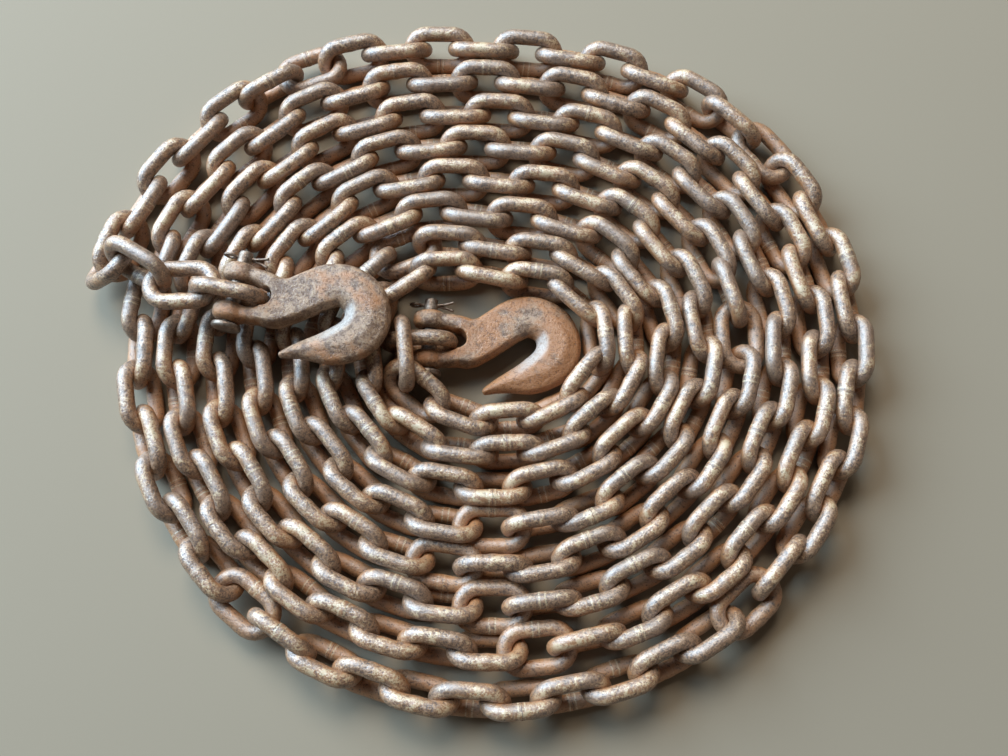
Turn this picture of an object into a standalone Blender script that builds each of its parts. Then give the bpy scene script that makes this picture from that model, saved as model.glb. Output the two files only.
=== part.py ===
"""A coil of welded steel chain lying flat, with a clevis grab hook on each end.

Every chain link is a closed loop of wire, and the coil's links follow one spiral path. The
coil is split into short runs of links. Each run is one solid, in which thin bars tie each
link to the next. The links near the hooks are solids of their own. Blender works in metres;
the figures below are millimetres and degrees.
"""
import math

import bmesh
import bpy
import numpy as np
from mathutils import Matrix, Vector

NAME = "chain_coil"
CUTTERS = "cutters"
MM = 0.001
UP = Vector((0.0, 0.0, 1.0))

# One link of 3/8 in chain, with a four-cornered wire section.
WIRE_ACROSS = 7.6
WIRE_THICK = 7.0
PITCH = 30.64
BAR_OFFSET = 12.5
STRAIGHT = 17.4
CROWN_REACH = 14.5
CROWN_STEPS = 3
LEAN = 57.0
INNER_LEAN = 66.0
LEAN_CHANGES = (198, 205)
FLOOR_WEAR = 0.9

# How the solids of the coil meet. From one link on, the turns crowd each other.
GAP = 0.3
TIE = 2.4
TIGHT_FROM = 180

# The spiral: distance from its centre to the middle of the strand, by direction, turn by turn.
CENTRE = (-4.0, 19.0)
PATH_STEP = 0.25
HALVINGS = 40
START = (168.2, 263.0)
DIRECTIONS = (165, 135, 90, 45, 0, -45, -90, -135)
RADII = (
    (262, 247, 214, 226, 232, 226, 223, 228),
    (232, 217, 189, 200, 208, 201, 194, 203),
    (206, 191, 164, 174, 184, 175, 168, 179),
    (180, 165, 139.4, 149.5, 159.4, 150, 144, 154),
    (155, 140.2, 114.1, 124.8, 135.2, 125.6, 119.5, 129.5),
    (130.5, 115.6, 88.8, 100.4, 111.3, 101.5, 95, 105.3),
    (106.4, 91.8, 64.9, 77.6, 89.3, 79, 72.4, 82),
    (85, 70.6, 44.1, 57.0, 68.9, 58.2, 51.5, 60),
    (62, 50),
)
RUNS = ((26, 6), (5, 5), (6, 4), (9, 3))

# The loose links at both ends: x, y, z of the middle, heading, slope and roll.
END_LINKS = {
    "outer_link_rising": (-257.5, 69.1, 27.1, -1.3, 46.8, -25.6),
    "outer_link_steep": (-233.2, 63.6, 44.4, -30.9, 1.1, 65.4),
    "outer_link_level": (-207.4, 51.1, 45.2, 3.1, 2.4, -8.9),
    "clevis_link_outer": (-176.5, 46.0, 47.1, -12.2, -3.4, 87.0),
    "inner_link_outward": (-27.55, -28.0, 17.55, 159.9, 1.2, 53.0),
    "inner_link_inward": (-56.5, -12.9, 19.0, 140.8, 7.0, 137.4),
    "inner_link_last": (-64.2, 9.7, 26.9, 96.3, 2.7, 98.6),
    "clevis_link_inner": (-55.3, 19.8, 16.2, 1.1, 0.0, 90.0),
}

# Hooks: stations along the body from the fork to the tip, as x, y, width, thickness.
HOOK_LINE = (
    (19.0, -0.6, 31.6, 20.6),
    (26.5, -0.8, 32.4, 19.4),
    (36.6, 3.0, 27.8, 18.0),
    (45.5, 9.4, 27.5, 17.0),
    (56.4, 17.0, 27.8, 17.0),
    (66.4, 19.3, 27.4, 17.5),
    (75.6, 16.5, 28.5, 18.0),
    (82.2, 10.8, 28.9, 18.0),
    (85.5, 0.8, 29.5, 18.0),
    (83.4, -8.5, 29.3, 18.0),
    (76.6, -16.1, 27.3, 18.0),
    (66.2, -22.0, 22.9, 17.0),
    (53.5, -26.2, 14.4, 14.0),
    (43.0, -30.5, 8.0, 10.0),
    (37.0, -33.6, 4.0, 6.0),
)
EDGE_CUT = 0.28
EAR_APART = 26.5
EAR_THICK = 13.0
EAR_ROUND = 23.0
EAR_SIDES = 14
ARM_INSET = 0.6
ARM = (0.5, 27.0)
SLOT_END = 25.0
SLOT_SIDES = 12
PAST = 40.0

# The clevis pin lies along the fork's Y axis, and the cotter stands in its tail.
PIN = 10.0
PIN_SIDES = 14
PIN_TAIL = 28.0
PIN_HEAD = 19.0
PIN_HEAD_THICK = 5.0
PIN_HEAD_SIDES = 18
COTTER = 2.4
COTTER_SIDES = 8
COTTER_IN = 4.5
COTTER_FOOT = 8.0
COTTER_NECK = 2.0
COTTER_EYE = 4.0
EYE_OFF = 1.0
CLEARANCE = 0.35
OVERLAP = 1.0
NUDGE = 0.01

# Where the hooks lie: x, y, z of the pin, heading and dip.
HOOKS = {
    "outer": (-169.9, 44.8, 43.8, -12.0, 1.6),
    "inner": (-49.3, 22.2, 13.2, -2.6, 2.4),
}


def sweep(points, sections, closed):
    """A mesh with one section at each point of a level path, mitred where the path turns.

    A section lists (left, up): left of the path, and straight up.
    """
    mesh = bmesh.new()
    rings = []
    count = len(points)
    for k, (point, section) in enumerate(zip(points, sections)):
        after = points[(k + 1) % count] - point
        before = point - points[k - 1]
        if not closed and k == 0:
            before = after
        if not closed and k == count - 1:
            after = before
        way = (before.normalized() + after.normalized()).normalized()
        left = Vector((-way.y, way.x, 0.0)) / way.dot(before.normalized())
        rings.append([mesh.verts.new(point + left * out + UP * up) for out, up in section])
    for k in range(count if closed else count - 1):
        ring, following = rings[k], rings[(k + 1) % count]
        for n in range(len(ring)):
            other = (n + 1) % len(ring)
            mesh.faces.new((ring[n], ring[other], following[other], following[n]))
    if not closed:
        mesh.faces.new(rings[0])
        mesh.faces.new(rings[-1])
    bmesh.ops.recalc_face_normals(mesh, faces=mesh.faces)
    return mesh


def cylinder(radius, start, end, segments):
    """A capped cylinder from one point to another."""
    mesh = bmesh.new()
    way = end - start
    bmesh.ops.create_cone(
        mesh, cap_ends=True, segments=segments, radius1=radius, radius2=radius, depth=way.length
    )
    turn = way.to_track_quat("Z", "Y").to_matrix().to_4x4()
    mesh.transform(Matrix.Translation((start + end) / 2) @ turn)
    return mesh


def box(low, high):
    """A box between two corners."""
    mesh = bmesh.new()
    bmesh.ops.create_cube(mesh, size=1.0)
    size = high - low
    mesh.transform(Matrix.Translation((low + high) / 2) @ Matrix.Diagonal((*size, 1.0)))
    return mesh


def joined(meshes):
    """Several meshes as one, none of them touching another."""
    result = bmesh.new()
    for mesh in meshes:
        copies = {vert: result.verts.new(vert.co) for vert in mesh.verts}
        for face in mesh.faces:
            result.faces.new([copies[vert] for vert in face.verts])
        mesh.free()
    return result


def new_object(name, mesh, collection):
    """An object from a mesh in millimetres."""
    data = bpy.data.meshes.new(name)
    mesh.transform(Matrix.Scale(MM, 4))
    mesh.to_mesh(data)
    mesh.free()
    obj = bpy.data.objects.new(name, data)
    collection.objects.link(obj)
    return obj


def combine(obj, mesh, operation):
    """Applies an exact Boolean with a mesh in millimetres, and keeps the result."""
    other = new_object("operand", mesh, bpy.data.collections[CUTTERS])
    other.hide_render = True
    other.display_type = "WIRE"
    modifier = obj.modifiers.new(operation.lower(), "BOOLEAN")
    modifier.operation = operation
    modifier.solver = "EXACT"
    modifier.object = other
    graph = bpy.context.evaluated_depsgraph_get()
    result = bpy.data.meshes.new_from_object(obj.evaluated_get(graph))
    obj.modifiers.clear()
    old = obj.data
    obj.data = result
    bpy.data.meshes.remove(old)
    spent = other.data
    bpy.data.objects.remove(other)
    bpy.data.meshes.remove(spent)


def finish(obj, steel):
    """Gives the object its one material."""
    obj.data.materials.clear()
    obj.data.materials.append(steel)


def put(obj, place):
    """Moves an object's mesh to its place, which is in millimetres."""
    turn = place.to_3x3().to_quaternion()
    obj.data.transform(Matrix.LocRotScale(place.to_translation() * MM, turn, None))


def steel_material(name, colour, rough):
    """A plain Principled material."""
    made = bpy.data.materials.new(name)
    made.use_nodes = True
    shader = made.node_tree.nodes["Principled BSDF"]
    shader.inputs["Base Color"].default_value = (*colour, 1.0)
    shader.inputs["Roughness"].default_value = rough
    shader.inputs["Metallic"].default_value = 0.8
    return made


def spiral():
    """Points along the middle of the strand, from the outer end inwards."""
    angles, radii = [START[0]], [START[1]]
    for turn, row in enumerate(RADII):
        for direction, radius in zip(DIRECTIONS, row):
            angles.append(direction - 360.0 * turn)
            radii.append(radius)
    angles, radii = np.array(angles), np.array(radii)
    slopes = np.gradient(radii, angles)
    fine = np.arange(angles[0], angles[-1], -PATH_STEP)
    cell = np.clip(np.searchsorted(-angles, -fine, side="right") - 1, 0, len(angles) - 2)
    step = angles[cell + 1] - angles[cell]
    u = (fine - angles[cell]) / step
    r = (
        radii[cell] * (2 * u**3 - 3 * u**2 + 1)
        + slopes[cell] * step * (u**3 - 2 * u**2 + u)
        + radii[cell + 1] * (3 * u**2 - 2 * u**3)
        + slopes[cell + 1] * step * (u**3 - u**2)
    )
    a = np.radians(fine)
    return np.stack([CENTRE[0] + r * np.cos(a), CENTRE[1] + r * np.sin(a)], axis=1)


def joints_along(points, pitch, count):
    """Points one pitch apart in a straight line, walked along the path and found by halving."""
    found, at = [points[0]], 0
    while len(found) < count + 1:
        away = np.hypot(*(points[at:] - found[-1]).T)
        past = int(np.argmax(away >= pitch))
        a, b = points[at + past - 1], points[at + past]
        low, high = 0.0, 1.0
        for _ in range(HALVINGS):
            mid = (low + high) / 2
            if np.hypot(*(a + mid * (b - a) - found[-1])) < pitch:
                low = mid
            else:
                high = mid
        found.append(a + low * (b - a))
        at += past - 1
    return np.array(found)


def placed(middle, axis, across):
    """The matrix that lays a link's length along one direction and its width along another."""
    rotation = Matrix((axis, across, axis.cross(across))).transposed()
    return Matrix.Translation(middle) @ rotation.to_4x4()


def coil_places(count):
    """A matrix for every link in the coil, the links leaning outwards and inwards by turns."""
    joints = joints_along(spiral(), PITCH, count)
    places = []
    for i in range(count):
        middle = (joints[i] + joints[i + 1]) / 2
        axis = Vector((*(joints[i + 1] - joints[i]), 0.0)).normalized()
        outward = Vector((-axis.y, axis.x, 0.0))
        lean = math.radians(np.interp(i, LEAN_CHANGES, (LEAN, INNER_LEAN)))
        half_high = (BAR_OFFSET + WIRE_ACROSS / 2) * math.sin(lean)
        half_high += WIRE_THICK / 2 * math.cos(lean)
        side = 1 if i % 2 == 0 else -1
        across = outward * (side * math.cos(lean)) + UP * math.sin(lean)
        places.append(placed(Vector((*middle, half_high - FLOOR_WEAR)), axis, across))
    return places


def end_place(x, y, z, heading, slope, roll):
    """The matrix of a loose link."""
    turn = Matrix.Rotation(math.radians(heading), 4, "Z")
    turn = turn @ Matrix.Rotation(math.radians(-slope), 4, "Y")
    return Matrix.Translation((x, y, z)) @ turn @ Matrix.Rotation(math.radians(roll), 4, "X")


def link(place, extra=0.0):
    """One link. Extra thickens the wire, for a cutter."""
    middle = []
    for side in (-1, 1):
        for k in range(CROWN_STEPS + 1):
            turn = math.pi / 2 - math.pi * k / CROWN_STEPS
            radius = BAR_OFFSET if k in (0, CROWN_STEPS) else CROWN_REACH
            x = STRAIGHT / 2 + radius * math.cos(turn)
            middle.append(Vector((-side * x, -side * radius * math.sin(turn), 0.0)))
    across, thick = WIRE_ACROSS / 2 + extra, WIRE_THICK / 2 + extra
    section = ((across, thick), (-across, thick), (-across, -thick), (across, -thick))
    mesh = sweep(middle, [section] * len(middle), True)
    mesh.transform(place)
    return mesh


def worn_flat(mesh):
    """Takes off what lies below the floor, and closes the cut."""
    geometry = mesh.verts[:] + mesh.edges[:] + mesh.faces[:]
    cut = bmesh.ops.bisect_plane(
        mesh, geom=geometry, dist=1e-5, plane_co=(0, 0, 0), plane_no=(0, 0, 1), clear_inner=True
    )
    edges = [part for part in cut["geom_cut"] if isinstance(part, bmesh.types.BMEdge)]
    bmesh.ops.edgeloop_fill(mesh, edges=edges)
    bmesh.ops.recalc_face_normals(mesh, faces=mesh.faces)
    return mesh


def tie(first, second):
    """A thin bar between the facing crowns of two links in a run."""
    reach = STRAIGHT / 2 + CROWN_REACH * math.cos(math.pi / (2 * CROWN_STEPS))
    start = first @ Vector((reach, 0.0, 0.0))
    end = second @ Vector((-reach, 0.0, 0.0))
    return cylinder(TIE, start, end, 3)


def run_of_links(name, places, following, tight, collection):
    """One solid from a run of links, clear of the link that follows where they crowd."""
    links = [link(place) for place in places]
    obj = new_object(name, worn_flat(joined(links[::2])), collection)
    combine(obj, worn_flat(joined(links[1::2])), "UNION")
    combine(obj, joined([tie(a, b) for a, b in zip(places, places[1:])]), "UNION")
    if following and tight:
        combine(obj, link(following, GAP), "DIFFERENCE")
    return obj


def add_coil(collection, steel):
    """All the runs, the long ones outside and the short ones inside."""
    lengths = [length for count, length in RUNS for _ in range(count)]
    places = coil_places(sum(lengths))
    first = 0
    for number, length in enumerate(lengths):
        after = first + length
        following = places[after] if after < len(places) else None
        name = f"chain_run_{number + 1:02d}"
        tight = after >= TIGHT_FROM
        finish(run_of_links(name, places[first:after], following, tight, collection), steel)
        first = after


def hook_body():
    """The hook's swept body, its edges cut back."""
    points, sections = [], []
    for x, y, width, thick in HOOK_LINE:
        points.append(Vector((x, y, 0.0)))
        w, t = width / 2, thick / 2
        cut = EDGE_CUT * thick
        corners = ((w, t - cut), (w - cut, t))
        corners += tuple((-a, b) for a, b in reversed(corners))
        sections.append(corners + tuple((a, -b) for a, b in reversed(corners)))
    return sweep(points, sections, False)


def add_ear(obj, side):
    """One side of the fork: a round end with an arm back to the body."""
    near, far = (EAR_APART - EAR_THICK) / 2, (EAR_APART + EAR_THICK) / 2
    low, high = sorted((side * near, side * far))
    ends = Vector((0, low, 0)), Vector((0, high, 0))
    combine(obj, cylinder(EAR_ROUND / 2, *ends, EAR_SIDES), "UNION")
    root = EAR_ROUND / 2 - ARM_INSET
    corner = Vector((ARM[0], low + NUDGE, -root))
    combine(obj, box(corner, Vector((ARM[1], high - NUDGE, root))), "UNION")


def hook(name, place, collection):
    """A clevis grab hook with its fork and pin holes."""
    obj = new_object(name, hook_body(), collection)
    for side in (-1, 1):
        add_ear(obj, side)
    half = (EAR_APART - EAR_THICK) / 2
    end = Vector((SLOT_END - half, 0, 0))
    slot = box(Vector((0, -half, -PAST)), Vector((end.x, half, PAST)))
    combine(obj, slot, "DIFFERENCE")
    combine(obj, cylinder(half, end - UP * PAST, end + UP * PAST, SLOT_SIDES), "DIFFERENCE")
    hole = cylinder(PIN / 2 + CLEARANCE, Vector((0, -PAST, 0)), Vector((0, PAST, 0)), PIN_SIDES)
    combine(obj, hole, "DIFFERENCE")
    put(obj, place)
    return obj


def pin(name, place, collection):
    """The clevis pin with its round head and the cotter's hole."""
    head = Vector((0, -(EAR_APART + EAR_THICK) / 2 - CLEARANCE, 0))
    along = Vector((0, 1, 0))
    shank = cylinder(PIN / 2, head - along * OVERLAP, along * PIN_TAIL, PIN_SIDES)
    obj = new_object(name, shank, collection)
    disc = cylinder(PIN_HEAD / 2, head - along * PIN_HEAD_THICK, head, PIN_HEAD_SIDES)
    combine(obj, disc, "UNION")
    at = along * (PIN_TAIL - COTTER_IN)
    hole = cylinder(COTTER / 2 + CLEARANCE, at - UP * PAST, at + UP * PAST, COTTER_SIDES)
    combine(obj, hole, "DIFFERENCE")
    put(obj, place)
    return obj


def cotter(name, place, collection):
    """A cotter through the pin's tail, with its eye on top."""
    at = Vector((0, PIN_TAIL - COTTER_IN, 0))
    top = at + UP * (PIN / 2 + COTTER_NECK)
    leg = cylinder(COTTER / 2, at - UP * COTTER_FOOT, top, COTTER_SIDES)
    obj = new_object(name, leg, collection)
    ring = []
    for k in range(COTTER_SIDES):
        turn = 2 * math.pi * (k + 0.5) / COTTER_SIDES
        ring.append(Vector((COTTER_EYE * math.cos(turn), COTTER_EYE * math.sin(turn), 0.0)))
    h = COTTER / 2
    eye = sweep(ring, [((h, h), (-h, h), (-h, -h), (h, -h))] * COTTER_SIDES, True)
    middle = at + UP * (PIN / 2 + EYE_OFF + COTTER_EYE)
    eye.transform(Matrix.Translation(middle) @ Matrix.Rotation(math.pi / 2, 4, "X"))
    combine(obj, eye, "UNION")
    put(obj, place)
    return obj


def settle(objects):
    """Moves everything so that the box round it is centred on the origin and stands on Z = 0."""
    corners = [vert.co for obj in objects for vert in obj.data.vertices]
    low = Vector([min(corner[n] for corner in corners) for n in range(3)])
    high = Vector([max(corner[n] for corner in corners) for n in range(3)])
    away = Matrix.Translation((-(low.x + high.x) / 2, -(low.y + high.y) / 2, -low.z))
    for obj in objects:
        obj.data.transform(away)


def add_hooks(collection, forged, plain):
    """Both hooks with their pins and cotters."""
    for end, (x, y, z, heading, dip) in HOOKS.items():
        place = Matrix.Translation((x, y, z)) @ Matrix.Rotation(math.radians(heading), 4, "Z")
        place = place @ Matrix.Rotation(math.radians(dip), 4, "Y")
        finish(hook(f"hook_{end}", place, collection), forged)
        finish(pin(f"clevis_pin_{end}", place, collection), plain)
        finish(cotter(f"cotter_{end}", place, collection), plain)


def build():
    for obj in list(bpy.data.objects):
        bpy.data.objects.remove(obj)
    model = bpy.data.collections.new(NAME)
    cutters = bpy.data.collections.new(CUTTERS)
    cutters.hide_render = True
    for collection in (model, cutters):
        bpy.context.scene.collection.children.link(collection)
    chain_steel = steel_material("chain_steel", (0.27, 0.20, 0.15), 0.5)
    forged_steel = steel_material("forged_steel", (0.22, 0.16, 0.13), 0.6)
    pin_steel = steel_material("pin_steel", (0.30, 0.24, 0.19), 0.45)
    add_coil(model, chain_steel)
    for name, numbers in END_LINKS.items():
        finish(new_object(name, worn_flat(link(end_place(*numbers))), model), chain_steel)
    add_hooks(model, forged_steel, pin_steel)
    settle(list(model.objects))


build()
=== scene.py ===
"""Looks for the coil of chain: round welded links, forged hooks, rusty steel, floor, lights and camera.

The path of the coil repeats the CAD source's figures, in millimetres and degrees, and so do
most places of the loose links and hooks. A few lie 1 to 4 mm off the solids, because the round
wire is thicker and needs the room. Meshes are made in millimetres and scaled to metres at the
end. In the materials, noise scales are per metre and heights in metres, and what is measured
from a weld is in millimetres. Lights and floor are in metres.
"""
import math

import bmesh
import bpy
import numpy as np
from mathutils import Matrix, Vector, noise


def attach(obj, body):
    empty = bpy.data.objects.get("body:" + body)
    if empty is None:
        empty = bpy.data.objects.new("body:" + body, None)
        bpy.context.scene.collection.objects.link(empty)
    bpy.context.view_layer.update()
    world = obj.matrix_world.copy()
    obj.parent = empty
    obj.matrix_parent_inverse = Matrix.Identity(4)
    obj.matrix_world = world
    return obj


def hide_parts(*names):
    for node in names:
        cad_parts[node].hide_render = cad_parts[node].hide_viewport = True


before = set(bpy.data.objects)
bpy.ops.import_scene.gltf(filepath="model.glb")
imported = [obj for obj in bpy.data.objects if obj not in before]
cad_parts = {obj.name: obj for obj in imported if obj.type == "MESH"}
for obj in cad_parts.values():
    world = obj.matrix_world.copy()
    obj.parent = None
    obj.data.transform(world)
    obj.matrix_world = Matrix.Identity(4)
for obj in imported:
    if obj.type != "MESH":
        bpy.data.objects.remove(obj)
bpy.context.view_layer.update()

MM = 0.001
SEED = 7

# How far the CAD source moves everything to centre the coil on the origin.
SHIFT = (20.398, -15.404, 0.0)

# The coil's path, as in the CAD source.
PITCH = 30.64
LEAN = 57.0
INNER_LEAN = 66.0
LEAN_CHANGES = (198, 205)
CENTRE = (-4.0, 19.0)
PATH_STEP = 0.25
HALVINGS = 40
START = (168.2, 263.0)
DIRECTIONS = (165, 135, 90, 45, 0, -45, -90, -135)
RADII = (
    (262, 247, 214, 226, 232, 226, 223, 228),
    (232, 217, 189, 200, 208, 201, 194, 203),
    (206, 191, 164, 174, 184, 175, 168, 179),
    (180, 165, 139.4, 149.5, 159.4, 150, 144, 154),
    (155, 140.2, 114.1, 124.8, 135.2, 125.6, 119.5, 129.5),
    (130.5, 115.6, 88.8, 100.4, 111.3, 101.5, 95, 105.3),
    (106.4, 91.8, 64.9, 77.6, 89.3, 79, 72.4, 82),
    (85, 70.6, 44.1, 57.0, 68.9, 58.2, 51.5, 60),
    (62, 50),
)
RUNS = ((26, 6), (5, 5), (6, 4), (9, 3))

# The loose links at both ends: x, y, z of the middle, heading, slope and roll.
END_LINKS = {
    "outer_link_rising": (-257.5, 69.1, 27.1, -1.3, 46.8, -25.6),
    "outer_link_steep": (-233.2, 63.6, 44.4, -30.9, 1.1, 65.4),
    "outer_link_level": (-203.9, 49.8, 45.2, 1.1, 2.4, -8.9),
    "clevis_link_outer": (-173.4, 44.2, 46.5, -10.5, -3.4, 94.0),
    "inner_link_outward": (-27.55, -28.0, 17.55, 159.9, 1.2, 53.0),
    "inner_link_inward": (-56.5, -12.9, 19.0, 140.8, 7.0, 137.4),
    "inner_link_last": (-64.2, 9.7, 26.9, 96.3, 2.7, 98.6),
    "clevis_link_inner": (-55.3, 19.8, 17.2, 1.1, 0.0, 90.0),
}

# Where the chain is twisted: the link that stands upright, with a flat one after it.
TWISTS = (5, 16, 27, 38, 75, 114, 139, 148, 175, 206)
UPRIGHT = 100.0
FLAT = 172.0

# How much the links' lean and heading vary.
LEAN_SPREAD = 2.0
HEADING_SPREAD = 1.2

# The round link: its wire's radius, its bars and crowns, and the least height of its middle.
WIRE = 5.1
BAR_OFFSET = 11.6
STRAIGHT = 17.6
CROWN_STEPS = 11
BAR_STEPS = 9
AROUND = 14
CROWN_WORN = 0.97
CROWN_FROM = 0.7
LEAST_HALF_HIGH = 14.7

# A bar's rows are spaced partly evenly and partly crowded towards its middle, where the weld is.
ROWS_EVEN = 0.45
ROWS_CROWDED = 0.55

# The weld on one bar: its height, how that varies, how many times it a link is lifted for it,
# and the weld's length.
WELD_BULGE = 0.28
WELD_VARIES = (0.5, 1.3)
WELD_ROOM = 1.5
WELD_LONG = 2.6

# The distance from the weld that points off the welded bar are given.
NO_WELD = 99.0

# The hook: stations along the body from the fork to the tip, as x, y, width, thickness.
HOOK_LINE = (
    (19.0, -0.6, 31.6, 20.6),
    (26.5, -0.8, 32.4, 19.4),
    (36.6, 3.0, 27.8, 18.0),
    (45.5, 9.4, 27.5, 17.0),
    (56.4, 17.0, 27.8, 17.0),
    (66.4, 19.3, 27.4, 17.5),
    (75.6, 16.5, 28.5, 18.0),
    (82.2, 10.8, 28.9, 18.0),
    (85.5, 0.8, 29.5, 18.0),
    (83.4, -8.5, 29.3, 18.0),
    (76.6, -16.1, 27.3, 18.0),
    (66.2, -22.0, 22.9, 17.0),
    (53.5, -26.2, 14.4, 14.0),
    (43.0, -30.5, 8.0, 10.0),
    (37.0, -33.6, 4.0, 6.0),
)
HOOK_STEPS = 6

# The hook's section: its edges, the bevel down to the throat and the slope to the rim. Bevel
# and slope begin at one share of the body's length and are full at the other.
SECTION_STEPS = 30
EDGE = 3.0
EDGE_SHARE = 0.8
EDGE_POWER = 2.4
EDGE_STRAIGHT = 0.08
BEVEL = 7.5
BEVEL_SHARE = 0.4
BEVEL_DROP = 0.70
RIM = 11.0
RIM_SHARE = 0.45
RIM_DROP = 0.50
BOWL_FROM = (0.22, 0.46)

# Where the chain has rubbed the bevel: shares of the body's length, and millimetres across it.
RUBBED_ALONG = (0.42, 0.86)
RUBBED_FADE = 0.1
RUBBED_PAST = 1.0
RUBBED_SOFT = 3.0

# The fork: round ears, and arms given as x, distance from the middle, width, thickness.
EAR_APART = 26.5
EAR_THICK = 13.0
EAR_ROUND = 22.0
EAR_SQUARENESS = 2.9
ARM_LINE = (
    (0.0, 13.4, 10.5, 16.0),
    (9.0, 13.0, 9.6, 16.5),
    (18.0, 11.6, 11.0, 18.0),
    (27.0, 7.5, 14.5, 18.5),
    (34.0, 3.0, 15.0, 17.0),
)
ARM_STEPS = 5
ARM_SIDES = 24
ARM_ROUNDNESS = 0.72
SLOT_END = 25.0
CLEARANCE = 0.35
ROUND_SIDES = 28
ROUND_STEPS = 14

# How far the cutters for the slot and the pin's hole reach past the middle.
SLOT_REACH = 30.0
HOLE_REACH = 40.0
CUTTER_SIDES = 32

# The clevis pin, and the cotter as x, sideways and up for one of its two wires.
PIN = 9.4
PIN_SQUARENESS = 12.0
PIN_TAIL = 28.0
PIN_HEAD = 19.0
PIN_HEAD_THICK = 5.0
PIN_HEAD_SQUARENESS = 3.4
COTTER_IN = 4.5
COTTER_LINE = (
    (15.0, 2.6, 1.2),
    (10.5, 1.2, 0.9),
    (6.5, 0.5, 0.6),
    (0.0, 0.0, 0.6),
    (-5.5, 0.0, 0.6),
    (-7.2, 0.0, 1.9),
    (-9.5, 0.0, 3.0),
    (-12.0, 0.0, 2.4),
    (-13.4, 0.0, 0.0),
)
COTTER_STEPS = 5
COTTER_WIRE = 0.95
COTTER_SIDES = 10

# How forms are melted together: voxel and rounds of smoothing, and how strong a round is.
JOIN_SKIN = (0.8, 4)
HOOK_SKIN = (0.6, 4)
PIN_SKIN = (0.5, 3)
SMOOTHING = 0.5

# The forgings' uneven skin: height and size of each kind of wave.
HOOK_WAVES = ((0.14, 6.0), (0.09, 1.8))
PIN_WAVES = ((0.1, 4.0), (0.04, 1.2))

# Where the hooks lie: x, y, z of the pin, heading and dip.
HOOKS = {
    "outer": (-169.9, 44.8, 43.8, -12.0, 1.6),
    "inner": (-49.3, 22.2, 14.6, -2.6, 2.4),
}

# Colours, as linear red, green and blue.
CHAIN_DARK = (0.095, 0.045, 0.022)
CHAIN_BROWN = (0.385, 0.225, 0.130)
CHAIN_DULL = (0.215, 0.138, 0.095)
CHAIN_RUST = (0.400, 0.165, 0.055)
CHAIN_LOW_RUST = (0.440, 0.190, 0.062)
CHAIN_CREAM = (0.640, 0.520, 0.330)
CHAIN_GRIME = (0.062, 0.030, 0.015)
HOOK_DARK = (0.175, 0.092, 0.050)
HOOK_TAN = (0.430, 0.272, 0.165)
HOOK_RUST = (0.420, 0.165, 0.050)
HOOK_PALE = (0.500, 0.375, 0.260)
HOOK_PITS = (0.080, 0.038, 0.018)
HOOK_RUBBED = (0.470, 0.440, 0.410)
PIN_DARK = (0.16, 0.11, 0.08)
PIN_BROWN = (0.33, 0.27, 0.22)
PIN_PITS = (0.07, 0.045, 0.03)
PIN_METALLIC = 0.65
FLOOR_COLOUR = (0.280, 0.230, 0.165)
FLOOR_ROUGH = 0.85
FLOOR_REACH = 12.0

# How far the weld's marks wander along the bar, and where its two bright seams lie.
WELD_WANDERS = 2.6
SEAM_OFF = 1.9

# The lights: name, place, size, power and colour.
LIGHTS = (
    ("key", (-2.60, 1.75, 1.75), 3.4, 430.0, (0.57, 0.79, 1.0)),
    ("top", (-0.3, 2.0, 2.6), 1.6, 70.0, (1.0, 0.93, 0.83)),
    ("fill", (1.5, -1.2, 1.0), 1.6, 3.0, (1.0, 0.84, 0.68)),
)
WORLD_COLOUR = (1.0, 0.93, 0.84)
WORLD_STRENGTH = 0.05

# The photograph's view.
AWAY = 665.0
TILT = 13.5
FOCAL = 1000.0
IMAGE_WIDE = 1008.0
SENSOR = 36.0
CLIP_START = 0.01


def spiral():
    """Points along the middle of the strand, from the outer end inwards."""
    angles, radii = [START[0]], [START[1]]
    for turn, row in enumerate(RADII):
        for direction, radius in zip(DIRECTIONS, row):
            angles.append(direction - 360.0 * turn)
            radii.append(radius)
    angles, radii = np.array(angles), np.array(radii)
    slopes = np.gradient(radii, angles)
    fine = np.arange(angles[0], angles[-1], -PATH_STEP)
    cell = np.clip(np.searchsorted(-angles, -fine, side="right") - 1, 0, len(angles) - 2)
    step = angles[cell + 1] - angles[cell]
    u = (fine - angles[cell]) / step
    r = (
        radii[cell] * (2 * u**3 - 3 * u**2 + 1)
        + slopes[cell] * step * (u**3 - 2 * u**2 + u)
        + radii[cell + 1] * (3 * u**2 - 2 * u**3)
        + slopes[cell + 1] * step * (u**3 - u**2)
    )
    a = np.radians(fine)
    return np.stack([CENTRE[0] + r * np.cos(a), CENTRE[1] + r * np.sin(a)], axis=1)


def joints_along(points, pitch, count):
    """Points one pitch apart in a straight line, walked along the path and found by halving."""
    found, at = [points[0]], 0
    while len(found) < count + 1:
        away = np.hypot(*(points[at:] - found[-1]).T)
        past = int(np.argmax(away >= pitch))
        a, b = points[at + past - 1], points[at + past]
        low, high = 0.0, 1.0
        for _ in range(HALVINGS):
            mid = (low + high) / 2
            if np.hypot(*(a + mid * (b - a) - found[-1])) < pitch:
                low = mid
            else:
                high = mid
        found.append(a + low * (b - a))
        at += past - 1
    return np.array(found)


def laid(axis, across):
    """The matrix that lays a link's length along one direction and its width along another."""
    return Matrix((axis, across, axis.cross(across))).transposed().to_4x4()


def planes(count):
    """Each link's plane, as an angle from outwards over upwards, with the chain's twists."""
    found = []
    flips = 0
    for i in range(count):
        lean = float(np.interp(i, LEAN_CHANGES, (LEAN, INNER_LEAN)))
        if i - 1 in TWISTS:
            flips += 1
            found.append(FLAT)
        elif i in TWISTS:
            found.append(UPRIGHT)
        else:
            outward = (i + flips) % 2 == 0
            found.append(lean if outward else 180.0 - lean)
    return found


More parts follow.
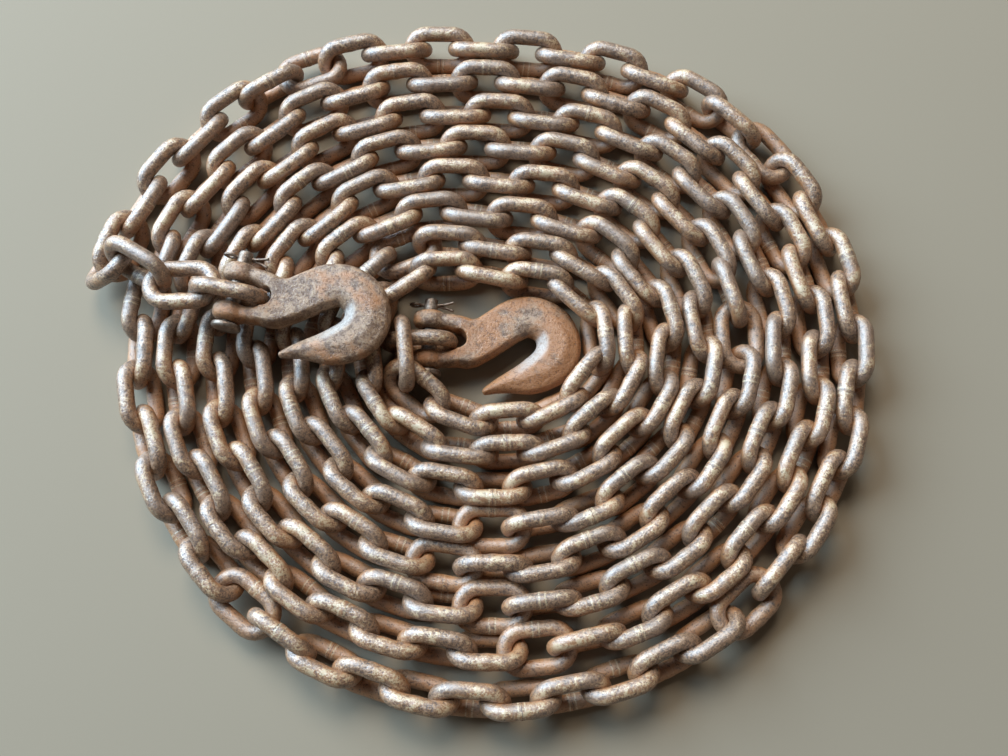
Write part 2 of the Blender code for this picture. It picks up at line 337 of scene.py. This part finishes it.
def coil_places(count, rng):
    """A matrix for every link in the coil, each resting on the floor."""
    joints = joints_along(spiral(), PITCH, count)
    places = []
    for i, plane in enumerate(planes(count)):
        middle = (joints[i] + joints[i + 1]) / 2
        axis = Vector((*(joints[i + 1] - joints[i]), 0.0)).normalized()
        outward = Vector((-axis.y, axis.x, 0.0))
        turn = math.radians(plane + rng.normal(0.0, LEAN_SPREAD))
        lowest = BAR_OFFSET * abs(math.sin(turn)) + WIRE + WELD_BULGE * WELD_ROOM
        lift = Matrix.Translation(Vector((*middle, max(LEAST_HALF_HIGH, lowest))))
        across = outward * math.cos(turn) + Vector((0, 0, math.sin(turn)))
        heading = Matrix.Rotation(math.radians(rng.normal(0.0, HEADING_SPREAD)), 4, "Z")
        places.append(lift @ heading @ laid(axis, across))
    return places


def end_place(x, y, z, heading, slope, roll):
    """The matrix of a loose link."""
    turn = Matrix.Rotation(math.radians(heading), 4, "Z")
    turn = turn @ Matrix.Rotation(math.radians(-slope), 4, "Y")
    return Matrix.Translation((x, y, z)) @ turn @ Matrix.Rotation(math.radians(roll), 4, "X")


def hook_place(x, y, z, heading, dip):
    """The matrix of a hook with its pin and cotter."""
    turn = Matrix.Rotation(math.radians(heading), 4, "Z")
    return Matrix.Translation((x, y, z)) @ turn @ Matrix.Rotation(math.radians(dip), 4, "Y")


def settled(mesh, place):
    """Moves a mesh from millimetres at the origin to its place in metres."""
    mesh.transform(Matrix.Scale(MM, 4) @ Matrix.Translation(SHIFT) @ place)


def link_path():
    """The middle line of a link, its direction, and how far each point lies from the weld."""
    points, ways, from_weld = [], [], []
    for side in (1, -1):
        for k in range(BAR_STEPS):
            u = (k + 0.5) / BAR_STEPS * 2 - 1
            x = STRAIGHT / 2 * (ROWS_EVEN * u + ROWS_CROWDED * u**3)
            points.append((side * x, side * BAR_OFFSET))
            ways.append((side, 0.0))
            from_weld.append(x if side > 0 else NO_WELD)
        for k in range(CROWN_STEPS):
            turn = math.pi / 2 - math.pi * (k + 0.5) / CROWN_STEPS
            x = STRAIGHT / 2 + BAR_OFFSET * math.cos(turn)
            points.append((side * x, side * BAR_OFFSET * math.sin(turn)))
            ways.append((side * math.sin(turn), -side * math.cos(turn)))
            from_weld.append(NO_WELD)
    return np.array(points), np.array(ways), np.array(from_weld)


def one_link(rng):
    """Points of a link that lies flat at the origin, and each point's distance from the weld."""
    points, ways, away = link_path()
    turn = 2 * math.pi * np.arange(AROUND) / AROUND
    bulge = WELD_BULGE * np.exp(-((away / WELD_LONG) ** 4)) * rng.uniform(*WELD_VARIES)
    radius = WIRE + bulge
    normal = np.stack([-ways[:, 1], ways[:, 0]], axis=1)
    out = np.cos(turn)[None, :] * radius[:, None]
    # the crowns are worn a little on their outer side
    crown = np.abs(points[:, 0]) > STRAIGHT / 2 + BAR_OFFSET * CROWN_FROM
    out = np.where(crown[:, None] & (out > 0), out * CROWN_WORN, out)
    xyz = np.empty((len(points), AROUND, 3))
    xyz[:, :, :2] = points[:, None, :] + normal[:, None, :] * out[:, :, None]
    xyz[:, :, 2] = np.sin(turn)[None, :] * radius[:, None]
    if rng.random() < 0.5:
        # half a turn, which puts the weld on the other bar
        xyz = xyz * np.array([-1.0, -1.0, 1.0])
    return xyz.reshape(-1, 3), np.repeat(away, AROUND)


def link_faces(first):
    """The quads of one link whose points start at first."""
    rings = 2 * (BAR_STEPS + CROWN_STEPS)
    ring, spoke = np.meshgrid(np.arange(rings), np.arange(AROUND), indexing="ij")
    row, next_row = ring * AROUND, (ring + 1) % rings * AROUND
    other = (spoke + 1) % AROUND
    quads = np.stack([row + spoke, row + other, next_row + other, next_row + spoke], axis=-1)
    return quads.reshape(-1, 4) + first


def chain_piece(name, places, rng, steel):
    """One piece from several links, with their tones and distances from the weld as attributes."""
    points, faces, weld, tone = [], [], [], []
    for place in places:
        xyz, away = one_link(rng)
        matrix = np.array(Matrix.Translation(SHIFT) @ place)
        faces.append(link_faces(sum(len(part) for part in points)))
        points.append(xyz @ matrix[:3, :3].T + matrix[:3, 3])
        weld.append(away)
        tone.append(np.full(len(xyz), rng.random()))
    mesh = bpy.data.meshes.new(name)
    mesh.from_pydata((np.concatenate(points) * MM).tolist(), [], np.concatenate(faces).tolist())
    for label, values in (("weld", weld), ("tone", tone)):
        layer = mesh.attributes.new(label, "FLOAT", "POINT")
        layer.data.foreach_set("value", np.concatenate(values).astype(np.float32))
    return dressed(shown(name, mesh), steel)


def shown(name, mesh):
    """An object of a mesh, in the scene."""
    obj = bpy.data.objects.new(name, mesh)
    bpy.context.scene.collection.objects.link(obj)
    return obj


def dressed(obj, material):
    """Gives an object its one material and smooth shading."""
    obj.data.materials.clear()
    obj.data.materials.append(material)
    obj.data.shade_smooth()
    return obj


def skinned(rings):
    """A closed mesh over rings of points, with a face across each end."""
    mesh = bmesh.new()
    loops = [[mesh.verts.new(point) for point in ring] for ring in rings]
    for loop, following in zip(loops, loops[1:]):
        for n in range(len(loop)):
            other = (n + 1) % len(loop)
            mesh.faces.new((loop[n], loop[other], following[other], following[n]))
    mesh.faces.new(loops[0])
    mesh.faces.new(loops[-1])
    bmesh.ops.recalc_face_normals(mesh, faces=mesh.faces)
    return mesh


def sweep(points, sections):
    """A mesh with one section at each point of a level path, mitred where the path turns."""
    rings = []
    for k, (point, section) in enumerate(zip(points, sections)):
        before = point - points[k - 1] if k else points[1] - point
        after = points[k + 1] - point if k < len(points) - 1 else before
        way = (before.normalized() + after.normalized()).normalized()
        left = Vector((-way.y, way.x, 0.0)) / way.dot(before.normalized())
        rings.append([point + left * out + Vector((0, 0, up)) for out, up in section])
    return skinned(rings)


def catmull(rows, steps):
    """A smooth line through rows of numbers."""
    rows = np.array(rows, float)
    padded = np.vstack([2 * rows[0] - rows[1], rows, 2 * rows[-1] - rows[-2]])
    found = []
    for k in range(1, len(padded) - 2):
        a, b, c, d = padded[k - 1 : k + 3]
        square, cube = 2 * a - 5 * b + 4 * c - d, 3 * b - a - 3 * c + d
        for n in range(steps):
            u = n / steps
            found.append(0.5 * (2 * b + (c - a) * u + square * u**2 + cube * u**3))
    found.append(rows[-1])
    return np.array(found)


def share(low, high, value):
    """How far a value, or each of an array, lies from low to high, kept within 0 and 1."""
    return np.clip((value - low) / (high - low), 0.0, 1.0)


def hook_section(width, thick, bowl):
    """Half round edges, and in the bowl a bevel down to the throat and a slope outside."""
    upper = []
    half = width / 2
    edge = min(EDGE, half * EDGE_SHARE)
    bevel, rim = min(BEVEL, width * BEVEL_SHARE), min(RIM, width * RIM_SHARE)
    for k in range(SECTION_STEPS + 1):
        out = half * math.cos(math.pi * k / SECTION_STEPS)
        throat = bowl * BEVEL_DROP * (1.0 - share(0.0, bevel, half + out))
        slope = bowl * RIM_DROP * (1.0 - share(0.0, rim, half - out))
        near = max(0.0, abs(out) - (half - edge)) / edge
        arc = math.sqrt(max(0.0, 1.0 - near**EDGE_POWER))
        arc = arc * (1.0 - EDGE_STRAIGHT) + EDGE_STRAIGHT * (1.0 - near)
        upper.append((out, thick / 2 * (1.0 - throat - slope) * arc))
    return upper + [(out, -up) for out, up in reversed(upper[1:-1])]


def hook_body():
    """The hook's swept body."""
    rows = catmull(HOOK_LINE, HOOK_STEPS)
    points, sections = [], []
    for k, (x, y, width, thick) in enumerate(rows):
        points.append(Vector((x, y, 0.0)))
        sections.append(hook_section(width, thick, share(*BOWL_FROM, k / (len(rows) - 1))))
    return sweep(points, sections)


def signed_power(value, power):
    """A power of a number's size, with the number's sign."""
    return math.copysign(abs(value) ** power, value)


def ring_turns(count):
    """Angles all the way round."""
    return [2 * math.pi * n / count for n in range(count)]


def round_body(radius, half, squareness):
    """A rounded disc about the Y axis, squarer for a higher squareness."""
    rings = []
    for k in range(1, ROUND_STEPS):
        turn = math.pi * k / ROUND_STEPS
        y = half * signed_power(math.cos(turn), 2 / squareness)
        r = radius * math.sin(turn) ** (2 / squareness)
        rings.append([(r * math.cos(a), y, r * math.sin(a)) for a in ring_turns(ROUND_SIDES)])
    return skinned(rings)


def cylinder(radius, start, end):
    """A capped cylinder from one point to another."""
    mesh = bmesh.new()
    long = (end - start).length
    bmesh.ops.create_cone(
        mesh, cap_ends=True, segments=CUTTER_SIDES, radius1=radius, radius2=radius, depth=long
    )
    turn = (end - start).to_track_quat("Z", "Y").to_matrix().to_4x4()
    mesh.transform(Matrix.Translation((start + end) / 2) @ turn)
    return mesh


def tube(points):
    """The cotter's round wire along points in space."""
    rings = []
    side = (points[1] - points[0]).normalized().orthogonal().normalized()
    for k, point in enumerate(points):
        way = (points[min(k + 1, len(points) - 1)] - points[max(k - 1, 0)]).normalized()
        side = (side - way * side.dot(way)).normalized()
        other = way.cross(side)
        rings.append([
            point + side * (COTTER_WIRE * math.cos(a)) + other * (COTTER_WIRE * math.sin(a))
            for a in ring_turns(COTTER_SIDES)
        ])
    return skinned(rings)


def joined(meshes):
    """Several meshes as one."""
    result = bmesh.new()
    for mesh in meshes:
        copies = {vert: result.verts.new(vert.co) for vert in mesh.verts}
        for face in mesh.faces:
            result.faces.new([copies[vert] for vert in face.verts])
        mesh.free()
    return result


def to_mesh(name, mesh):
    """A mesh that is being edited, as mesh data."""
    data = bpy.data.meshes.new(name)
    mesh.to_mesh(data)
    mesh.free()
    return data


def applied(obj):
    """Turns an object's modifiers into its mesh."""
    graph = bpy.context.evaluated_depsgraph_get()
    result = bpy.data.meshes.new_from_object(obj.evaluated_get(graph))
    obj.modifiers.clear()
    old = obj.data
    obj.data = result
    bpy.data.meshes.remove(old)


def remeshed(obj, voxel, rounds):
    """Melts overlapping forms into one skin and softens it, as forging does."""
    remesh = obj.modifiers.new("skin", "REMESH")
    remesh.mode = "VOXEL"
    remesh.voxel_size = voxel
    soften = obj.modifiers.new("soften", "SMOOTH")
    soften.factor = SMOOTHING
    soften.iterations = rounds
    applied(obj)


def cut(obj, mesh):
    """Cuts a mesh out of an object."""
    other = shown("operand", to_mesh("operand", mesh))
    modifier = obj.modifiers.new("cut", "BOOLEAN")
    modifier.operation = "DIFFERENCE"
    modifier.solver = "EXACT"
    modifier.object = other
    applied(obj)
    spent = other.data
    bpy.data.objects.remove(other)
    bpy.data.meshes.remove(spent)


def values_of(items, name, wide):
    """The same property of every point of a mesh, as rows."""
    flat = np.empty(len(items) * wide, np.float32)
    items.foreach_get(name, flat)
    return flat.reshape(-1, wide)


def uneven(obj, waves):
    """Moves each point along its normal by smooth noise, in millimetres."""
    points = values_of(obj.data.vertices, "co", 3)
    normals = values_of(obj.data.vertex_normals, "vector", 3)
    push = [
        sum(high * noise.noise(Vector(at) / size) for high, size in waves)
        for at in points.tolist()
    ]
    moved = points + normals * np.array(push)[:, None]
    obj.data.vertices.foreach_set("co", moved.astype(np.float32).reshape(-1))
    obj.data.update()


def mark_rubbed(obj):
    """Marks the bevel along the throat, which the chain has rubbed bright."""
    points = values_of(obj.data.vertices, "co", 3)[:, :2]
    rows = catmull(HOOK_LINE, HOOK_STEPS)
    nearest = np.linalg.norm(points[:, None, :] - rows[None, :, :2], axis=2).argmin(axis=1)
    way = np.gradient(rows[:, :2], axis=0)
    way /= np.linalg.norm(way, axis=1)[:, None]
    off = points - rows[nearest, :2]
    left = off[:, 1] * way[nearest, 0] - off[:, 0] * way[nearest, 1]
    from_throat = rows[nearest, 2] / 2 + left
    along = nearest / (len(rows) - 1)
    first, last = RUBBED_ALONG
    span = share(first, first + RUBBED_FADE, along) * share(last, last - RUBBED_FADE, along)
    edge = BEVEL + RUBBED_PAST
    rubbed = share(edge, edge - RUBBED_SOFT, from_throat) * span
    layer = obj.data.attributes.new("rubbed", "FLOAT", "POINT")
    layer.data.foreach_set("value", rubbed.astype(np.float32))


def ear(side):
    """A knob with an arm that runs into the shank."""
    knob = round_body(EAR_ROUND / 2, EAR_THICK / 2, EAR_SQUARENESS)
    knob.transform(Matrix.Translation((0, side * EAR_APART / 2, 0)))
    line = [(x, side * off, width, thick) for x, off, width, thick in ARM_LINE]
    points, sections = [], []
    for x, y, width, thick in catmull(line, ARM_STEPS):
        points.append(Vector((x, y, 0.0)))
        sections.append([
            (
                width / 2 * signed_power(math.cos(a), ARM_ROUNDNESS),
                thick / 2 * signed_power(math.sin(a), ARM_ROUNDNESS),
            )
            for a in ring_turns(ARM_SIDES)
        ])
    return [knob, sweep(points, sections)]


def hook(name, place, steel):
    """A forged grab hook with its fork."""
    obj = shown(name, to_mesh(name, joined([hook_body()] + ear(1) + ear(-1))))
    remeshed(obj, *JOIN_SKIN)
    half = EAR_APART / 2 - EAR_THICK / 2
    end = Vector((SLOT_END - half, 0, 0))
    slot = bmesh.new()
    bmesh.ops.create_cube(slot, size=1.0)
    size = Matrix.Diagonal((end.x + SLOT_REACH, half * 2, SLOT_REACH * 2, 1))
    slot.transform(Matrix.Translation(((end.x - SLOT_REACH) / 2, 0, 0)) @ size)
    cut(obj, slot)
    up, across = Vector((0, 0, SLOT_REACH)), Vector((0, HOLE_REACH, 0))
    cut(obj, cylinder(half, end - up, end + up))
    cut(obj, cylinder(PIN / 2 + CLEARANCE, -across, across))
    remeshed(obj, *HOOK_SKIN)
    uneven(obj, HOOK_WAVES)
    mark_rubbed(obj)
    settled(obj.data, place)
    return dressed(obj, steel)


def pin(name, place, steel):
    """The clevis pin with its domed head."""
    head = -(EAR_APART + EAR_THICK) / 2 - CLEARANCE
    shaft = round_body(PIN / 2, (PIN_TAIL - head) / 2, PIN_SQUARENESS)
    shaft.transform(Matrix.Translation((0, (PIN_TAIL + head) / 2, 0)))
    disc = round_body(PIN_HEAD / 2, PIN_HEAD_THICK / 2, PIN_HEAD_SQUARENESS)
    disc.transform(Matrix.Translation((0, head - PIN_HEAD_THICK / 2, 0)))
    obj = shown(name, to_mesh(name, joined([shaft, disc])))
    remeshed(obj, *PIN_SKIN)
    uneven(obj, PIN_WAVES)
    settled(obj.data, place)
    return dressed(obj, steel)


def cotter(name, place, steel):
    """A bent cotter through the pin's tail, along the hook, its eye towards the chain."""
    at = PIN_TAIL - COTTER_IN
    wires = []
    for side in (-1, 1):
        line = [(x, at + across * side, up * side) for x, across, up in COTTER_LINE]
        wires.append(tube([Vector(row) for row in catmull(line, COTTER_STEPS)]))
    mesh = joined(wires)
    settled(mesh, place)
    return dressed(shown(name, to_mesh(name, mesh)), steel)


class Nodes:
    """A short way to lay out a node material."""

    def __init__(self, name):
        self.material = bpy.data.materials.new(name)
        self.material.use_nodes = True
        self.tree = self.material.node_tree
        self.shader = self.tree.nodes["Principled BSDF"]

    def put(self, socket, value):
        """Links a socket to an output, or sets it."""
        if hasattr(value, "is_output"):
            self.tree.links.new(value, socket)
        else:
            socket.default_value = value

    def noise(self, scale, detail, rough=0.55, warp=0.0):
        """Noise through the piece, with a mean near a half."""
        node = self.tree.nodes.new("ShaderNodeTexNoise")
        self.put(node.inputs["Vector"], self.place())
        node.inputs["Scale"].default_value = scale
        node.inputs["Detail"].default_value = detail
        node.inputs["Roughness"].default_value = rough
        node.inputs["Distortion"].default_value = warp
        return node.outputs["Fac"]

    def ramp(self, value, low, high, to_low=0.0, to_high=1.0):
        """A smooth step from one value to another while the input goes from low to high."""
        node = self.tree.nodes.new("ShaderNodeMapRange")
        node.interpolation_type = "SMOOTHSTEP"
        self.put(node.inputs["Value"], value)
        node.inputs["From Min"].default_value = low
        node.inputs["From Max"].default_value = high
        node.inputs["To Min"].default_value = to_low
        node.inputs["To Max"].default_value = to_high
        return node.outputs["Result"]

    def math(self, kind, a, b=0.0):
        """One sum with two values."""
        node = self.tree.nodes.new("ShaderNodeMath")
        node.operation = kind
        self.put(node.inputs[0], a)
        self.put(node.inputs[1], b)
        return node.outputs[0]

    def times(self, a, b):
        """The product of two values."""
        return self.math("MULTIPLY", a, b)

    def away(self, a, b):
        """How far one value lies from another."""
        return self.math("ABSOLUTE", self.math("SUBTRACT", a, b))

    def total(self, *parts):
        """The sum of values, each a value alone or a pair of a value and its weight."""
        weighted = [self.times(*part) if isinstance(part, tuple) else part for part in parts]
        result = weighted[0]
        for part in weighted[1:]:
            result = self.math("ADD", result, part)
        return result

    def mix(self, factor, a, b):
        """A mix of two colours."""
        node = self.tree.nodes.new("ShaderNodeMix")
        node.data_type = "RGBA"
        self.put(node.inputs[0], factor)
        self.put(node.inputs[6], (*a, 1.0) if isinstance(a, tuple) else a)
        self.put(node.inputs[7], (*b, 1.0) if isinstance(b, tuple) else b)
        return node.outputs[2]

    def attribute(self, name):
        """A value that the mesh carries."""
        node = self.tree.nodes.new("ShaderNodeAttribute")
        node.attribute_name = name
        return node.outputs["Fac"]

    def place(self):
        """The point's place in the object."""
        return self.tree.nodes.new("ShaderNodeTexCoord").outputs["Object"]

    def up_part(self, vector):
        """The upward part of a direction or place."""
        node = self.tree.nodes.new("ShaderNodeSeparateXYZ")
        self.put(node.inputs[0], vector)
        return node.outputs["Z"]

    def height(self):
        """The height above the floor."""
        return self.up_part(self.place())

    def facing_up(self):
        """How much the surface faces up."""
        return self.up_part(self.tree.nodes.new("ShaderNodeNewGeometry").outputs["Normal"])

    def surface(self, colour, rough, relief, strength, deep):
        """Sets the shader's colour, roughness and bump."""
        self.put(self.shader.inputs["Base Color"], colour)
        self.put(self.shader.inputs["Roughness"], rough)
        node = self.tree.nodes.new("ShaderNodeBump")
        node.inputs["Strength"].default_value = strength
        node.inputs["Distance"].default_value = deep
        self.put(node.inputs["Height"], relief)
        self.put(self.shader.inputs["Normal"], node.outputs["Normal"])

    def gloss(self, ior, level):
        """Sets how strongly the surface reflects."""
        self.shader.inputs["IOR"].default_value = ior
        self.shader.inputs["Specular IOR Level"].default_value = level


def chain_steel():
    """Old chain: glossy brown patina, rubbed to cream on the upper bars, orange low down."""
    n = Nodes("old_chain_steel")
    broad = n.noise(30.0, 2.0)
    patch = n.noise(150.0, 5.0, 0.62, 0.5)
    fine = n.noise(420.0, 5.0, 0.75)
    speck = n.noise(850.0, 3.0, 0.65)
    tone = n.attribute("tone")
    grain = n.total((fine, 0.55), (speck, 0.45))

    # patina, some links duller than others, with rust in patches and low down
    colour = n.mix(n.ramp(grain, 0.42, 0.58), CHAIN_DARK, CHAIN_BROWN)
    colour = n.mix(n.times(n.ramp(tone, 0.2, 1.0), 0.45), colour, CHAIN_DULL)
    rusty = n.total((patch, 0.6), (broad, 0.6))
    colour = n.mix(n.ramp(rusty, 0.56, 0.70, 0.0, 0.80), colour, CHAIN_RUST)
    low = n.ramp(n.total(n.height(), (broad, 0.012)), 0.014, 0.029, 1.0, 0.0)
    colour = n.mix(n.times(low, n.ramp(patch, 0.32, 0.60, 0.5, 0.95)), colour, CHAIN_LOW_RUST)

    # rubbed to a cream colour here and there on top, and in thin bands beside the weld
    top = n.times(n.ramp(n.facing_up(), 0.30, 0.95), n.ramp(n.height(), 0.016, 0.027))
    rubbed = n.total((patch, 0.45), (speck, 0.35), (broad, 0.25))
    wear = n.times(top, n.ramp(rubbed, 0.535, 0.60))
    wandering = n.total(n.attribute("weld"), (patch, WELD_WANDERS))
    from_weld = n.away(wandering, WELD_WANDERS / 2)
    line = n.ramp(n.away(from_weld, SEAM_OFF), 0.10, 0.75, 1.0, 0.0)
    seam = n.times(line, n.ramp(tone, 0.20, 0.45))
    wear = n.math("MAXIMUM", wear, n.times(seam, n.ramp(speck, 0.38, 0.52, 0.25, 1.0)))
    colour = n.mix(n.times(wear, 0.75), colour, CHAIN_CREAM)

    # dark pits, and on some links a crack along the weld
    crack = n.times(n.ramp(from_weld, 0.10, 0.45, 0.8, 0.0), n.ramp(tone, 0.6, 0.8))
    grime = n.ramp(grain, 0.40, 0.46, 0.75, 0.0)
    grime = n.math("MAXIMUM", grime, n.times(crack, n.ramp(fine, 0.4, 0.5)))
    colour = n.mix(grime, colour, CHAIN_GRIME)

    rough = n.total(n.ramp(fine, 0.32, 0.68, 0.30, 0.46), (grime, 0.5), (low, 0.15))
    n.surface(colour, rough, n.total((patch, 0.3), (grain, 0.7)), 0.8, 0.0013)
    n.gloss(1.72, 1.0)
    return n.material


def forged_steel():
    """A rough forging: grey-brown scale, with reddish rust in broad patches."""
    n = Nodes("old_forged_steel")
    broad = n.noise(36.0, 3.0, 0.5)
    patch = n.noise(140.0, 5.0, 0.62)
    fine = n.noise(420.0, 5.0, 0.75)
    speck = n.noise(900.0, 4.0, 0.7)
    grain = n.total((fine, 0.5), (speck, 0.5))

    # scale, with more rust near the floor and pale grains where there is none
    shade = n.total((patch, 0.5), (grain, 0.5))
    colour = n.mix(n.ramp(shade, 0.42, 0.58), HOOK_DARK, HOOK_TAN)
    damp = n.ramp(n.height(), 0.018, 0.032, 0.15, 0.0)
    rust = n.ramp(n.total(broad, (patch, 0.45), damp), 0.69, 0.90, 0.0, 0.85)
    colour = n.mix(rust, colour, HOOK_RUST)
    pale = n.times(n.ramp(fine, 0.52, 0.66, 0.0, 0.6), n.ramp(rust, 0.0, 0.8, 1.0, 0.3))
    colour = n.mix(pale, colour, HOOK_PALE)

    # dark pits, and the bevel that the chain has rubbed
    pits = n.ramp(grain, 0.41, 0.47, 0.65, 0.0)
    colour = n.mix(pits, colour, HOOK_PITS)
    rubbed = n.times(n.attribute("rubbed"), n.ramp(grain, 0.40, 0.52, 0.5, 1.0))
    colour = n.mix(n.times(rubbed, 0.75), colour, HOOK_RUBBED)

    rough = n.total(n.ramp(fine, 0.32, 0.68, 0.36, 0.52), (rubbed, -0.16), (pits, 0.4))
    n.surface(colour, rough, n.total(grain, (patch, 0.3)), 0.9, 0.0014)
    n.gloss(1.6, 0.7)
    return n.material


def pin_steel():
    """Plain turned steel, brown with age."""
    n = Nodes("old_pin_steel")
    patch = n.noise(260.0, 5.0, 0.6)
    speck = n.noise(1100.0, 3.0, 0.6)
    colour = n.mix(n.ramp(patch, 0.35, 0.65), PIN_DARK, PIN_BROWN)
    colour = n.mix(n.ramp(speck, 0.54, 0.68, 0.0, 0.7), colour, PIN_PITS)
    n.surface(colour, n.ramp(patch, 0.35, 0.65, 0.32, 0.5), n.total(patch, speck), 0.4, 0.0007)
    n.shader.inputs["Metallic"].default_value = PIN_METALLIC
    return n.material


def add_floor():
    """A plain pale floor."""
    mesh = bpy.data.meshes.new("floor")
    far = FLOOR_REACH
    corners = [(-far, -far, 0), (far, -far, 0), (far, far, 0), (-far, far, 0)]
    mesh.from_pydata(corners, [], [(0, 1, 2, 3)])
    material = bpy.data.materials.new("floor")
    material.use_nodes = True
    shader = material.node_tree.nodes["Principled BSDF"]
    shader.inputs["Base Color"].default_value = (*FLOOR_COLOUR, 1.0)
    shader.inputs["Roughness"].default_value = FLOOR_ROUGH
    mesh.materials.append(material)
    shown("floor", mesh)


def add_light(name, place, size, power, colour):
    """A soft light that faces the coil."""
    data = bpy.data.lights.new(name, "AREA")
    data.shape = "DISK"
    data.size = size
    data.energy = power
    data.color = colour
    light = shown(name, data)
    light.location = place
    light.rotation_euler = (-Vector(place)).to_track_quat("-Z", "Y").to_euler()


def add_lights():
    """Cool daylight low from the left, a softer light above, and a dim warm fill."""
    for light in LIGHTS:
        add_light(*light)
    world = bpy.data.worlds.new("studio")
    world.use_nodes = True
    background = world.node_tree.nodes["Background"]
    background.inputs["Color"].default_value = (*WORLD_COLOUR, 1.0)
    background.inputs["Strength"].default_value = WORLD_STRENGTH
    bpy.context.scene.world = world
    bpy.context.scene.view_settings.view_transform = "Standard"


def add_camera():
    """The photograph's camera, nearly straight above."""
    data = bpy.data.cameras.new("camera")
    data.sensor_width = SENSOR
    data.lens = FOCAL / IMAGE_WIDE * SENSOR
    data.clip_start = CLIP_START
    turn = math.radians(TILT)
    camera = shown("camera", data)
    camera.location = (
        SHIFT[0] * MM,
        (SHIFT[1] - AWAY * math.sin(turn)) * MM,
        AWAY * math.cos(turn) * MM,
    )
    camera.rotation_euler = (turn, 0.0, 0.0)
    bpy.context.scene.camera = camera


def stands_for(piece, node):
    """Lets a piece stand for a CAD node."""
    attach(piece, "root")
    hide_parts(node)


def add_chain(rng):
    """The links of the coil, one piece for each run, and the loose links."""
    steel = chain_steel()
    lengths = [length for count, length in RUNS for _ in range(count)]
    places = coil_places(sum(lengths), rng)
    first = 0
    for number, length in enumerate(lengths):
        piece = chain_piece(f"links_{number + 1:02d}", places[first : first + length], rng, steel)
        stands_for(piece, f"chain_run_{number + 1:02d}")
        first += length
    for node, numbers in END_LINKS.items():
        piece = chain_piece(f"{node}_round", [end_place(*numbers)], rng, steel)
        stands_for(piece, node)


def add_hooks():
    """Both hooks with their pins and cotters."""
    forged, plain = forged_steel(), pin_steel()
    for end, numbers in HOOKS.items():
        place = hook_place(*numbers)
        stands_for(hook(f"forged_hook_{end}", place, forged), f"hook_{end}")
        stands_for(pin(f"turned_pin_{end}", place, plain), f"clevis_pin_{end}")
        stands_for(cotter(f"bent_cotter_{end}", place, plain), f"cotter_{end}")


add_chain(np.random.default_rng(SEED))
add_hooks()
add_floor()
add_lights()
add_camera()
